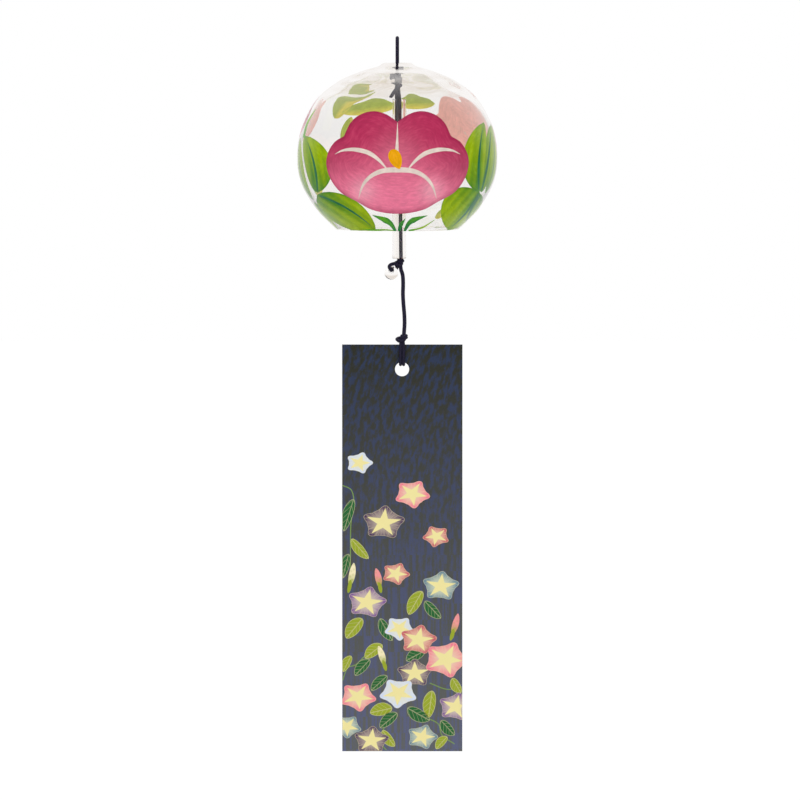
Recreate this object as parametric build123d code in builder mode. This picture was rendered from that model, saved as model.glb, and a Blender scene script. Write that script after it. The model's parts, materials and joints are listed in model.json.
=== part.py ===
"""Glass furin: a painted glass bell, its glass clapper and its paper wind strip, hung on one cord.

Lengths are in millimetres and angles in degrees. Z is up, and zero is the inside of the hanging
loop's top, so the whole part hangs below its origin. Seen from the front, +X is to the right.
"""

import os
from math import cos, degrees, pi, radians, sin, sqrt, tan

from build123d import *

os.makedirs("parts", exist_ok=True)

# Cord: one braided cord, folded in half at the top
cord_d = 1.45
drawn_cord_d = 1.2  # the same cord where the strip's loop is pulled thin
strand_gap = 0.1  # between two strands that run side by side
arc_share = 0.45  # of the shorter run beside a corner, taken up by that corner's arc

# Room between pieces that turn, swing or slide against each other
running_gap = 0.3

# Hanging loop: the cord's fold, a teardrop that stands edge-on to the viewer
loop_r = 3.0  # of its round end, to the cord's middle
loop_flare = 22.0  # how far its sides lean out
loop_bend_r = 4.0
parting_h = 0.05  # the two strands part this far above the crown

# Glass bell
bell_r = 40.0
bell_h = 66.4
bell_wall = 1.3
crown_wall = 2.0
crown_flat_r = 5.4
cord_hole_room = 0.8  # round the two strands, in the crown's hole
# The outside of the section, from the cut rim to the crown: shares of bell_r and bell_h
bell_outline_shares = [
    (0.615, 0.0),
    (0.815, 0.123),
    (0.955, 0.268),
    (1.0, 0.413),
    (0.965, 0.593),
    (0.815, 0.774),
    (0.605, 0.883),
    (0.39, 0.943),
    (0.195, 0.979),
]
inside_point_shares = (0.14, 0.28, 0.42, 0.56, 0.7, 0.84, 0.96)  # along the outside, walked inwards
thickening_share = 0.7  # of the way to the crown, where the wall begins to thicken

# Knots: each is a few turns of the cord, pulled tight into a ball
knot_turns = 3
knot_lean = 9.0  # of the turns, one way and the other
stopper_overlap = 0.7  # the stopper knot is this much wider than the crown's hole, all round
stopper_pitch = 1.25
lower_knot_r = 2.25
lower_knot_pitch = 0.95
strip_knot_r = 2.4
strip_knot_pitch = 0.78
strip_knot_shift = 0.75  # the cord comes down this far right of the strip knot's middle

# Clapper: a thin glass tube threaded on the cord, resting on the lower knot, and a small bead
tube_r = 2.75
tube_wall = 0.9
tube_h = 64.0
tube_edge_r = 0.25  # the flame-polished ends
clapper_drop = 75.6  # from the bell's pivot to the middle of the lower knot
clapper_lean = 0.75  # the lower knot hangs this far right of the pivot
bead_r = 2.75
bead_room = 0.2  # round the cord, in the bead's bore
bead_place = (-3.15, 0.8, -4.1)  # of its middle, from the lower knot's
bore_rise = 1.1  # of the bore's middle above the bead's

# Paper strip
strip_w = 48.2
strip_h = 163.4
strip_t = 0.4
strip_hole_r = 2.84
strip_hole_drop = 9.9  # from the strip's top edge to the hole's middle
strip_gap = 0.5  # between the knot and the strip's top edge
strip_shift = 0.1  # the strip's middle is this far right of its hole's
curl_depth = 2.0  # the strip's foot stands this far forward of its top
curl_start = 5.0  # below the hole's middle

# Routes of the cord's free stretches. The tail is measured from the stopper knot's middle, and
# the others from the lower knot's.
tail_route = [
    (0.9, -1.4, -0.9),
    (2.0, -3.4, -2.6),
    (0.6, -4.1, -4.6),
    (-1.6, -4.0, -6.6),
    (-2.9, -3.95, -9.0),
]
bead_loop_route = [
    (-0.6, -0.8, -0.3),
    (-2.5, -2.3, -0.2),
    (-4.3, -2.9, -1.2),
    (-3.15, -2.9, -3.0),
    (-3.15, 4.5, -3.0),
    (-1.6, 4.5, -2.2),
    (-0.8, 1.2, -0.6),
]
strip_cord_route = [
    (0.55, 0.0, -2.55),
    (1.45, 0.0, -4.6),
    (1.63, -0.2, -8.4),
    (1.45, 0.1, -12.4),
    (1.7, 0.35, -16.6),
    (2.1, 0.1, -20.8),
    (2.2, -0.2, -24.8),
    (1.9, 0.0, -28.4),
]
clapper_cord_foot = (0.75, 0.0, 1.0)  # where it enters the lower knot, from that knot's middle

# Where things come to hang, worked out from the top down
strand_off = (cord_d + strand_gap) / 2
loop_top = cord_d / 2
loop_mid = loop_top - loop_r
flare = radians(loop_flare)
side_run = (loop_r * cos(flare) - strand_off - loop_bend_r * (1 - cos(flare))) / sin(flare)
parting_z = loop_mid - (loop_r + loop_bend_r) * sin(flare) - side_run * cos(flare)
crown_z = parting_z - parting_h
rim_z = crown_z - bell_h

cord_hole_r = strand_off + cord_d / 2 + cord_hole_room
stopper_r = cord_hole_r + stopper_overlap
seat_drop = sqrt((stopper_r + running_gap) ** 2 - cord_hole_r**2)
pivot_z = crown_z - crown_wall - seat_drop
stopper_core_r = stopper_r - cord_d / 2

tube_bore_r = tube_r - tube_wall
lower_knot = Vector(clapper_lean, 0, pivot_z - clapper_drop)
tube_foot_z = lower_knot.Z + sqrt((lower_knot_r + running_gap) ** 2 - tube_bore_r**2)
bead_middle = lower_knot + Vector(*bead_place)
bore_middle = bead_middle + Vector(0, 0, bore_rise)

strip_knot_half_h = strip_knot_pitch * (knot_turns - 1) / 2 + cord_d / 2
strip_knot_half_h += (strip_knot_r - cord_d / 2) * sin(radians(knot_lean))
cord_foot = lower_knot + Vector(*strip_cord_route[-1])
strip_knot = cord_foot - Vector(strip_knot_shift, 0, running_gap + strip_knot_half_h)
strip_top = strip_knot.Z - strip_knot_half_h - strip_gap
hole_z = strip_top - strip_hole_drop
drawn_off = (drawn_cord_d + strand_gap / 2) / 2
hang_reach = strip_hole_r - running_gap - drawn_cord_d / 2
strip_pivot_z = hole_z + sqrt(hang_reach**2 - drawn_off**2)


def report_places():
    """Print where the joints turn, for the record that goes with this model."""
    print("bell pivot", round(pivot_z, 3), "rim", round(rim_z, 3), "crown", round(crown_z, 3))
    print("lower knot", lower_knot, "strip knot", strip_knot)
    print("strip pivot", round(strip_pivot_z, 3), "strip top", round(strip_top, 3))
    print("bead bore", bore_middle)


def corner_radii(points):
    """The radius of the arc at each corner of a route, as large as its two runs allow."""
    radii = []
    for before, here, after in zip(points, points[1:], points[2:]):
        run_in = here - before
        run_out = after - here
        turn = radians(run_in.get_angle(run_out))
        radii.append(arc_share * min(run_in.length, run_out.length) / tan(turn / 2))
    return radii


def report_cord(name, part, line, diameter, radii=()):
    """Print a stretch's length, its arcs and how its volume compares with its section's sweep."""
    section = pi * diameter**2 / 4
    arcs = [round(radius, 2) for radius in radii]
    print(name, "length", round(line.length, 2), "radii", arcs, "volume ratio",
          round(part.volume / (section * line.length), 4))


def cord_along(name, start, route):
    """A stretch of cord along a route that is measured from its start."""
    points = [start + Vector(*point) for point in route]
    radii = corner_radii(points)
    with BuildPart() as stretch:
        with BuildLine() as middle:
            FilletPolyline(*points, radius=radii)
        with BuildSketch(Plane(origin=middle.line @ 0, z_dir=middle.line % 0)):
            Circle(cord_d / 2)
        sweep()
    report_cord(name, stretch.part, middle.wire(), cord_d, radii)
    return stretch.part


def tied_knot(middle, radius, pitch):
    """A ball of cord turns about a round core. Every turn keeps inside the ball's radius."""
    ring_r = radius - cord_d / 2
    with BuildPart() as knot:
        with Locations(middle):
            Sphere(ring_r)
        for turn in range(knot_turns):
            height = (turn - (knot_turns - 1) / 2) * pitch
            side = (-1) ** turn
            with Locations(Location(middle, (knot_lean * side, knot_lean * side / 2, 0))):
                with Locations((0, 0, height)):
                    Torus(sqrt(ring_r**2 - height**2), cord_d / 2)
    return knot.part


def save(name, part):
    """Label a finished piece and write its file."""
    part.label = name
    export_step(part, f"parts/{name}.step")


# Hanging loop: both strands rise from the stopper knot through the crown, part and meet over the hook
strand_foot_z = pivot_z + stopper_core_r + running_gap
with BuildPart() as hanging_loop:
    with BuildLine(Plane.YZ) as loop_line:
        rise = Line((-strand_off, strand_foot_z), (-strand_off, parting_z))
        bend_out = JernArc(rise @ 1, rise % 1, loop_bend_r, loop_flare)
        side_out = Line(bend_out @ 1, bend_out @ 1 + side_run * (bend_out % 1))
        round_end = JernArc(side_out @ 1, side_out % 1, loop_r, -(180 + 2 * loop_flare))
        side_in = Line(round_end @ 1, round_end @ 1 + side_run * (round_end % 1))
        bend_in = JernArc(side_in @ 1, side_in % 1, loop_bend_r, loop_flare)
        Line(bend_in @ 1, (strand_off, strand_foot_z))
    with BuildSketch(Plane(origin=loop_line.line @ 0, z_dir=loop_line.line % 0)):
        Circle(cord_d / 2)
    sweep()
report_cord("hanging_loop", hanging_loop.part, loop_line.wire(), cord_d)
save("hanging_loop", hanging_loop.part)

# Stopper knot: holds the bell up from inside its crown, and ends in the short strand's cut tail
stopper_middle = Vector(0, 0, pivot_z)
tail = cord_along("tail", stopper_middle, tail_route)
with BuildPart() as stopper_knot:
    add(tied_knot(stopper_middle, stopper_r, stopper_pitch))
    add(tail)
save("stopper_knot", stopper_knot.part)

# Glass bell: a blown ball, cut off flat at the mouth, its wall thickening towards the crown
with BuildPart() as glass_bell:
    with BuildSketch(Plane.XZ.shift_origin((0, 0, rim_z))):
        with BuildLine():
            outside = Spline(*[(x * bell_r, z * bell_h) for x, z in bell_outline_shares])
            nib = Line(outside @ 1, (crown_flat_r, bell_h))
            crown_top = Line(nib @ 1, (cord_hole_r, bell_h))
            hole_wall = Line(crown_top @ 1, (cord_hole_r, bell_h - crown_wall))
            rim_tangent = outside % 0
            inner_rim = (outside @ 0) - Vector(bell_wall / rim_tangent.Y, 0)
            inside = [inner_rim]
            for share in inside_point_shares:
                thicker = max(share - thickening_share, 0) / (1 - thickening_share)
                wall = bell_wall + (crown_wall - bell_wall) * thicker
                along = outside % share
                inside.append((outside @ share) + wall * Vector(-along.Y, along.X))
            inside.append(hole_wall @ 1)
            Spline(*inside)
            Line(inner_rim, outside @ 0)
        make_face()
    revolve(axis=Axis.Z)
save("glass_bell", glass_bell.part)

# Clapper's cord: pulled straight by what hangs on it, from the stopper knot to the lower knot
clapper_cord_top = Vector(0, 0, pivot_z - stopper_core_r - running_gap)
clapper_cord_end = lower_knot + Vector(*clapper_cord_foot)
with BuildPart() as clapper_cord:
    with BuildLine() as clapper_line:
        Line(clapper_cord_top, clapper_cord_end)
    with BuildSketch(Plane(origin=clapper_line.line @ 0, z_dir=clapper_line.line % 0)):
        Circle(cord_d / 2)
    sweep()
report_cord("clapper_cord", clapper_cord.part, clapper_line.wire(), cord_d)
save("clapper_cord", clapper_cord.part)

# Clapper tube: the glass that strikes the rim, free to ride up its cord
with BuildPart() as clapper_tube:
    with BuildSketch(Plane.XY.offset(tube_foot_z)):
        with Locations((clapper_lean, 0)):
            Circle(tube_r)
            Circle(tube_bore_r, mode=Mode.SUBTRACT)
    extrude(amount=tube_h)
    fillet(clapper_tube.edges().filter_by(GeomType.CIRCLE), tube_edge_r)
save("clapper_tube", clapper_tube.part)

# Lower knot: holds the tube up and ties the bead's loop
save("lower_knot", tied_knot(lower_knot, lower_knot_r, lower_knot_pitch))

# Bead and the small loop that it is strung on
save("bead_loop", cord_along("bead_loop", lower_knot, bead_loop_route))
with BuildPart() as glass_bead:
    with Locations(bead_middle):
        Sphere(bead_r)
    with BuildSketch(Plane(origin=bore_middle, x_dir=(1, 0, 0), z_dir=(0, -1, 0))):
        Circle(cord_d / 2 + bead_room)
    extrude(amount=2 * bead_r, both=True, mode=Mode.SUBTRACT)
save("glass_bead", glass_bead.part)

# Strip's cord, from the lower knot down to the strip knot
save("strip_cord", cord_along("strip_cord", lower_knot, strip_cord_route))

# Strip knot
save("strip_knot", tied_knot(strip_knot, strip_knot_r, strip_knot_pitch))

# Strip loop: two strands side by side, down the front of the strip, through its hole and up the back
turn_r = strip_t / 2 + running_gap + drawn_cord_d / 2
with BuildPart() as strip_loop:
    for side in (-1, 1):
        strand_x = strip_knot.X + side * drawn_off
        with BuildLine(Plane.YZ.offset(strand_x)) as strand_line:
            down = Line((-turn_r, strip_knot.Z), (-turn_r, strip_pivot_z + turn_r))
            under = JernArc(down @ 1, down % 1, turn_r, 180)
            Line(under @ 1, (turn_r, strip_knot.Z))
        with BuildSketch(Plane(origin=strand_line.line @ 0, z_dir=strand_line.line % 0)):
            Circle(drawn_cord_d / 2)
        sweep()
report_cord("strip_loop", strip_loop.part, strand_line.wire(), drawn_cord_d)
save("strip_loop", strip_loop.part)

# Paper strip: flat down to just below its hole, then with a long, slight curl forward
straight_h = strip_hole_drop + curl_start
curl_h = strip_h - straight_h
curl_r = curl_h**2 / (2 * curl_depth)
curl_angle = degrees(curl_h / curl_r)
with BuildPart() as paper_strip:
    with BuildSketch(Plane.YZ.offset(strip_knot.X + strip_shift)):
        with BuildLine():
            front = Line((-strip_t / 2, strip_top), (-strip_t / 2, strip_top - straight_h))
            front_curl = JernArc(front @ 1, (0, -1), curl_r - strip_t / 2, -curl_angle)
            back = Line((strip_t / 2, strip_top), (strip_t / 2, strip_top - straight_h))
            back_curl = JernArc(back @ 1, (0, -1), curl_r + strip_t / 2, -curl_angle)
            Line(front @ 0, back @ 0)
            Line(front_curl @ 1, back_curl @ 1)
        make_face()
    extrude(amount=strip_w / 2, both=True)
    with BuildSketch(Plane(origin=(strip_knot.X, 0, hole_z), x_dir=(1, 0, 0), z_dir=(0, -1, 0))):
        Circle(strip_hole_r)
    extrude(amount=strip_t, both=True, mode=Mode.SUBTRACT)
save("paper_strip", paper_strip.part)

report_places()
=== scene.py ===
import json
from math import cos, pi, radians, sin

import bpy
import numpy as np
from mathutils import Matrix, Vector
from mathutils.geometry import delaunay_2d_cdt


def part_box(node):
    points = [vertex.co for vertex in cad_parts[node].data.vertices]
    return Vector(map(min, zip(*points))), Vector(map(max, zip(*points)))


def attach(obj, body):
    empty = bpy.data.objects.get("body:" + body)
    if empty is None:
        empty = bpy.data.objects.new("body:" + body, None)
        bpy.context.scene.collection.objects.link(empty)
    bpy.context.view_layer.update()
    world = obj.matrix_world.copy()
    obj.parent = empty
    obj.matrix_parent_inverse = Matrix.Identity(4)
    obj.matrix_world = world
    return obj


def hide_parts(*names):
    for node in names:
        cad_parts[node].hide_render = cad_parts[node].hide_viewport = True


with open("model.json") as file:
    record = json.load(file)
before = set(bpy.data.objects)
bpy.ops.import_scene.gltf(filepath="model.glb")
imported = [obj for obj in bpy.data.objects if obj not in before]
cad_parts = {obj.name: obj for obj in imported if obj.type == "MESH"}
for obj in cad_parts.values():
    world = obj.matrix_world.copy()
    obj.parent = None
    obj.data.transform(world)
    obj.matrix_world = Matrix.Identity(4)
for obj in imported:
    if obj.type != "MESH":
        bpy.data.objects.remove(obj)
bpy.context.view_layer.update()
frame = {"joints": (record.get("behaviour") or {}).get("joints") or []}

# Hanging loop
# The whole bell hangs by one thin braided cord of dark navy polyester, folded in half. The fold drops
# over a hook, and its two strands run side by side down through the crown's hole to the stopper knot.
# Lengths are in millimetres, and new_piece() turns them into metres. The studio's are in metres.
METRE = 1000
cord_d = 1.45
# The cord's near-black colour, with the painted highlight of its plaits' crests and the painted shade of
# the hollows between them.
cord_painted_highlight = (46, 42, 70)
cord_dark_and_painted_shade = (9, 8, 17)
plaits_round = 5
plait_relief = 0.03
ring_step = 0.1
cord_sides = 20
loop_side = [(0.78, -12.8), (0.78, -10.6), (0.78, -8.4), (3.0, -2.9), (3.0, -1.0), (1.25, 0.73)]


def linear(colour):
    """An sRGB colour, each part from 0 to 255, as the linear colour that a shader takes."""
    shares = np.array(colour, float) / 255
    low = shares / 12.92
    high = ((shares + 0.055) / 1.055) ** 2.4
    return np.where(shares < 0.04045, low, high)


def opaque(colour):
    """The same, with its alpha."""
    return (*linear(colour), 1.0)


class Wire:
    """An output of a material's nodes. A sum on it adds its Math nodes."""

    def __init__(self, tree, output=None):
        self.tree = tree
        self.output = output

    def node(self, kind, settings=None, inputs=None, output=0):
        """A new node: its settings first, then the values or links of its sockets."""
        made = self.tree.nodes.new("ShaderNode" + kind)
        for name, value in (settings or {}).items():
            if name == "stops":
                stops = made.color_ramp.elements
                while len(stops) < len(value):
                    stops.new(0.5)
                for stop, (place, colour) in zip(stops, value):
                    stop.position = place
                    stop.color = colour
            else:
                setattr(made, name, value)
        for name, value in (inputs or {}).items():
            if isinstance(value, Wire):
                self.tree.links.new(value.output, made.inputs[name])
            else:
                made.inputs[name].default_value = value
        return Wire(self.tree, made.outputs[output])

    def part(self, letter):
        """The X, Y or Z of this vector."""
        return self.node("SeparateXYZ", None, {0: self}, output=letter)

    def maths(self, operation, *others):
        """A Math node of this operation, on this value and then the others."""
        return self.node("Math", {"operation": operation}, dict(enumerate((self, *others))))

    def mixed(self, share, other):
        """This colour, with a share of another."""
        made = self.node("Mix", {"data_type": "RGBA"}, {0: share}, output=2)
        sockets = made.output.node.inputs
        for place, colour in ((6, self), (7, other)):
            if isinstance(colour, Wire):
                self.tree.links.new(colour.output, sockets[place])
            else:
                sockets[place].default_value = colour
        return made

    def __add__(self, other):
        return self.maths("ADD", other)

    def __sub__(self, other):
        return self.maths("SUBTRACT", other)

    def __rsub__(self, other):
        return self.node("Math", {"operation": "SUBTRACT"}, {0: other, 1: self})

    def __mul__(self, other):
        return self.maths("MULTIPLY", other)

    __radd__ = __add__
    __rmul__ = __mul__

    def show(self):
        """This shader becomes the surface of its material."""
        output = self.tree.nodes.new("ShaderNodeOutputMaterial")
        self.tree.links.new(self.output, output.inputs["Surface"])


def new_material(name):
    """A material without nodes, and a wire to start them from."""
    material = bpy.data.materials.new(name)
    material.use_nodes = True
    material.node_tree.nodes.clear()
    return material, Wire(material.node_tree)


def cord_material():
    """Braided polyester on a near-black ground: its fine diagonal plaits are painted lighter on their
    crests and darker between them, as painted highlight and painted shade.
    """
    material, start = new_material("braided_cord")
    place = start.node("UVMap", {"uv_map": "design"})
    around, along = place.part("X"), place.part("Y")
    rising = ((around + along) * (2 * pi)).maths("SINE")
    falling = ((around - along) * (2 * pi)).maths("SINE")
    plait = rising * falling * 0.5 + 0.5
    fibre = start.node("TexNoise", None, {"Vector": place, "Scale": 6.0, "Detail": 3.0})
    shade = plait * 0.7 + fibre * 0.4
    # Painted highlight and painted shade that follow the plaits' relief.
    stops = [(0.15, opaque(cord_dark_and_painted_shade)), (0.95, opaque(cord_painted_highlight))]
    colour = start.node("ValToRGB", {"stops": stops}, {"Fac": shade})
    bump = start.node("Bump", None, {"Height": shade, "Strength": 0.6, "Distance": 0.0001})
    start.node("BsdfPrincipled", None, {
        "Base Color": colour, "Roughness": 0.75, "Specular IOR Level": 0.3, "Normal": bump,
    }).show()
    return material


def new_object(name, data):
    """An object in the scene, with this mesh, lamp or camera."""
    made = bpy.data.objects.new(name, data)
    bpy.context.scene.collection.objects.link(made)
    return made


def new_piece(name, places, faces, uvs, materials):
    """A smooth mesh from points in millimetres, with one place of its design map for each corner."""
    mesh = bpy.data.meshes.new(name)
    mesh.from_pydata((np.array(places) / METRE).tolist(), [], faces)
    for material in materials:
        mesh.materials.append(material)
    mesh.polygons.foreach_set("use_smooth", [True] * len(mesh.polygons))
    mesh.uv_layers.new(name="design").data.foreach_set("uv", np.array(uvs, float).ravel())
    return new_object(name, mesh)


def grid_piece(name, rings, material, uv_size, end_to_end=False):
    """A mesh over rings of points. Its last ring meets the first where it closes end to end."""
    rows, columns = rings.shape[:2]
    last = rows if end_to_end else rows - 1
    faces, uvs = [], []
    for row in range(last):
        above = (row + 1) % rows
        for column in range(columns):
            beside = (column + 1) % columns
            faces.append((row * columns + column, row * columns + beside,
                          above * columns + beside, above * columns + column))
            left, right = column / columns * uv_size[0], (column + 1) / columns * uv_size[0]
            low, high = row / last * uv_size[1], (row + 1) / last * uv_size[1]
            uvs += [(left, low), (right, low), (right, high), (left, high)]
    if not end_to_end:
        for ring in (range(columns - 1, -1, -1), range((rows - 1) * columns, rows * columns)):
            faces.append(tuple(ring))
            uvs += [(0, 0)] * columns
    return new_piece(name, rings.reshape(-1, 3), faces, uvs, [material])


def smooth_line(points):
    """The smooth curve that a route's points guide, read as points along its spline."""
    curve = bpy.data.curves.new("route", "CURVE")
    curve.dimensions = "3D"
    spline = curve.splines.new("NURBS")
    spline.points.add(len(points) - 1)
    for guide, point in zip(spline.points, points):
        guide.co = (*point, 1)
    spline.order_u = 3
    spline.use_endpoint_u = True
    spline.resolution_u = 16
    holder = bpy.data.objects.new("route", curve)
    line = bpy.data.meshes.new_from_object(holder)
    places = np.array([vertex.co for vertex in line.vertices])
    bpy.data.objects.remove(holder)
    bpy.data.curves.remove(curve)
    bpy.data.meshes.remove(line)
    return places


def even_line(line, step):
    """The same line with its points evenly spaced."""
    steps = np.linalg.norm(np.diff(line, axis=0), axis=1)
    run = np.concatenate([[0], np.cumsum(steps)])
    even = np.linspace(0, run[-1], max(int(run[-1] / step), 2) + 1)
    return np.stack([np.interp(even, run, values) for values in line.T], 1)


def way_of(line):
    """The direction of a line at each of its points."""
    ahead = np.gradient(line, axis=0)
    return ahead / np.linalg.norm(ahead, axis=1)[:, None]


def directions(line):
    """At each point: the way ahead, and two ways across it that turn as little as they can."""
    ahead = way_of(line)
    side = np.cross(ahead[0], (0.3, 0.9, 0.1))
    sides = []
    for way in ahead:
        side = side - way * side.dot(way)
        side /= np.linalg.norm(side)
        sides.append(side)
    sides = np.array(sides)
    return ahead, sides, np.cross(ahead, sides)


def full_circle(count):
    """Evenly spaced angles all the way round."""
    return np.arange(count) / count * 2 * pi


def cord_tube(name, line, width):
    """A braided tube along a line. Its plaits stand out a little, and its ends are melted round."""
    radius = width / 2
    line = even_line(np.array(line, float), ring_step * width)
    ahead, sides, others = directions(line)
    angles = full_circle(cord_sides)
    run = np.arange(len(line)) * ring_step * width
    lay = plaits_round / radius * run[:, None]
    plait = np.sin(plaits_round * angles + lay) * np.sin(plaits_round * angles - lay)
    from_end = np.minimum(run, run[::-1]) / radius
    ends = np.sqrt(np.clip(1 - (1 - np.minimum(from_end * 2.5 + 0.1, 1)) ** 2, 0, 1))
    reach = radius * (1 - plait_relief + plait_relief * plait) * ends[:, None]
    spokes = np.cos(angles)[:, None] * sides[:, None] + np.sin(angles)[:, None] * others[:, None]
    rings = line[:, None] + reach[..., None] * spokes
    plaits_long = run[-1] * plaits_round / (2 * pi * radius)
    return grid_piece(name, rings, braided, (plaits_round, plaits_long))


def box_of(node):
    """The lowest and the highest corner of a solid, in millimetres."""
    return [np.array(corner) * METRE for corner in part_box(node)]


def fitted(piece, body, node=None):
    """The piece moves with a body, and stands for a solid where one is named."""
    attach(piece, body)
    if node:
        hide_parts(node)
    return piece


braided = cord_material()
pivot = {joint["name"]: np.array(joint["pos_m"]) * METRE for joint in frame["joints"] if "pos_m" in joint}
stopper_middle = pivot["bell_rock"]
loop_points = [(0, y, z) for y, z in loop_side] + [(0, -y, z) for y, z in reversed(loop_side)]
loop_line = smooth_line(loop_points)
hanging_loop = fitted(cord_tube("hanging_loop_cord", loop_line, cord_d), "hanger", "hanging_loop")

# Stopper knot
# A doubled overhand knot, pulled tight, that is too big for the crown's hole and so carries the bell.
# The short strand ends just below it in a cut tail, and the long one goes on as the clapper's cord.
knot_reach = 12.0
knot_step = 0.6
knot_rounds = 300
knot_body_reach = 3.1
knot_neighbour = 3.3
strand_apart = 0.72
stopper_strand_d = 1.2
knot_easing = 0.35
tail_route = [(0.3, -0.6, -0.3), (0.9, -1.4, -0.9), (2.0, -3.4, -2.6),
              (0.6, -4.1, -4.6), (-1.6, -4.0, -6.6), (-2.9, -3.95, -9.0)]


def tightened_knot():
    """The line of an overhand knot in a rope of radius 1, drawn tight until the rope meets itself."""
    share = np.linspace(-2.1, 2.1, 300)
    line = np.stack([share**3 - 3 * share, 0.9 * (share**4 - 4 * share**2) + 1.6,
                     0.6 * (share**5 - 10 * share)], 1)
    line = np.vstack([[0, 0, -knot_reach], line, [0, 0, knot_reach]])
    for turn in range(knot_rounds):
        if turn % 5 == 0:
            line = even_line(line, knot_step)
            place = np.arange(len(line))
            apart = abs(place[:, None] - place) > knot_neighbour / knot_step
        line[1:-1] += knot_easing * (line[2:] + line[:-2] - 2 * line[1:-1])
        for again in range(2):
            away = line[:, None] - line[None]
            gap = np.sqrt((away**2).sum(2)) + 1e-9
            push = np.where(apart & (gap < 2), (2 - gap) / gap / 2, 0)
            moves = (away * push[..., None]).sum(1) / np.maximum((push > 0).sum(1), 1)[:, None]
            line[1:-1] += moves[1:-1]
    body = line[abs(line[:, 2]) < knot_body_reach]
    off = (body[:, 1].min() + body[:, 1].max()) / 2
    near = np.clip((6.5 - abs(line[:, 2])) / 3.0, 0, 1)
    line[:, 1] -= off * near * near * (3 - 2 * near)
    return line


def tied_knot(middle, scale, turn, reach):
    """The knot's line at its real size and place, its ends cut off this far above and below."""
    line = knot_line * scale
    line = line[abs(line[:, 2]) < reach]
    x, y, z = line.T
    spun = np.stack([x * cos(turn) - y * sin(turn), x * sin(turn) + y * cos(turn), z], 1)
    return even_line(spun, 0.12) + middle


def doubled(name, line, apart, width, body, node):
    """A knot tied in two strands that lie side by side."""
    across = directions(line)[1]
    for side in (-1, 1):
        strand = cord_tube(f"{name}_{side + 2}", line + across * side * apart / 2, width)
        fitted(strand, body, node)


knot_line = tightened_knot()
stopper_line = tied_knot(stopper_middle, scale=(0.78, 0.78, 0.56), turn=0.5, reach=2.6)
doubled("stopper_knot_strand", stopper_line, strand_apart, stopper_strand_d, "stopper", "stopper_knot")
tail_line = smooth_line([stopper_middle + point for point in tail_route])
fitted(cord_tube("stopper_tail", tail_line, cord_d), "stopper")

# Glass bell
# A ball of clear soda glass, blown free-hand on a pipe and cut off at the mouth. Its wall is thin and
# even below and thickens, with waves, towards the crown, where the pipe was cracked off round the hole.
bell_outline_shares = [(0.615, 0.0), (0.815, 0.123), (0.955, 0.268), (1.0, 0.413), (0.965, 0.593),
                       (0.815, 0.774), (0.605, 0.883), (0.39, 0.943), (0.195, 0.979)]
bell_r = 40.0
bell_wall = 1.3
crown_wall = 2.0
thickening_share = 0.7
crown_flat_r = 5.4
cord_hole_r = 2.3
fold_edge = 53.5
fold_depth = 0.24
wave_depth = 0.34
wave_start = 46.0
front_calm = 0.85
front_narrowness = 8
rim_roughness = 0.05
rim_reach = 0.8
bell_columns = 240
glass_crease = 50
clear_tint = (254, 253, 252)
# Painted shade: the grey-beige streaks painted into the glass round the crown, where its folds bend the
# light.
painted_fold_shade_tint = (240, 234, 226)
painted_fold_shade_reach = 0.17
painted_fold_shade_soft = 0.05
painted_fold_shade_fineness = 40.0
crown_on_map = 0.5
bell_low, bell_high = box_of("glass_bell")
rim_z, crown_z = bell_low[2], bell_high[2]
bell_h = crown_z - rim_z


def through(points, step):
    """A smooth line through points, with its points evenly spaced."""
    points = np.array(points, float)
    ends = np.vstack([2 * points[0] - points[1], points, 2 * points[-1] - points[-2]])
    line = []
    for a, b, c, d in zip(ends, ends[1:], ends[2:], ends[3:]):
        for share in np.linspace(0, 1, 24, endpoint=False):
            line.append(0.5 * (2 * b + (c - a) * share + (2 * a - 5 * b + 4 * c - d) * share**2
                               + (3 * b - a - 3 * c + d) * share**3))
    return even_line(np.array([*line, points[-1]]), step)


outside = through([(x * bell_r, z * bell_h) for x, z in bell_outline_shares], 0.6)
along = way_of(outside)
inward = np.stack([-along[:, 1], along[:, 0]], 1)
shares = np.linspace(0, 1, len(outside))
thickening = np.clip((shares - thickening_share) / (1 - thickening_share), 0, 1)
walls = bell_wall + (crown_wall - bell_wall) * thickening
inside = outside + inward * walls[:, None]
inside[0] = outside[0] - [bell_wall / along[0][1], 0]


def waves(angle, height):
    """How far the inner wall swells inward: folds at the crown, above a hem that hangs in scallops."""
    hem = fold_edge + 2.2 * np.sin(3 * angle + 0.8) + 1.5 * np.sin(7 * angle + 2.0)
    over = np.clip((height - hem) / 4.0, 0, 1)
    rise = np.clip((height - wave_start) / (bell_h - wave_start), 0, 1)
    folds = np.sin(7 * angle + 0.2 * height + 1.0) * 0.5 + np.sin(12 * angle - 0.3 * height) * 0.25
    folds = folds + np.sin(3 * angle + 0.4 * height + 2.0) * 0.35
    level = np.clip((bell_h - 2.0 - height) / 8.0, 0, 1)
    calm = 1 - front_calm * np.exp((np.cos(angle) - 1) * front_narrowness)
    swell = fold_depth * over * over * (3 - 2 * over) + wave_depth * rise * folds * calm
    return swell * level + 0.03 * np.sin(4 * angle + 0.2 * height)


def wall_place(angle, height, depth):
    """A point this far inside the inner wall. The angle is from the front, to the right."""
    radius = np.interp(height, inside[:, 1], inside[:, 0])
    out_r = np.interp(height, inside[:, 1], -inward[:, 0])
    out_z = np.interp(height, inside[:, 1], -inward[:, 1])
    lift = waves(angle, height) + depth
    radius = radius - out_r * lift
    return np.stack([radius * np.sin(angle), -radius * np.cos(angle), rim_z + height - out_z * lift], -1)


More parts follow.
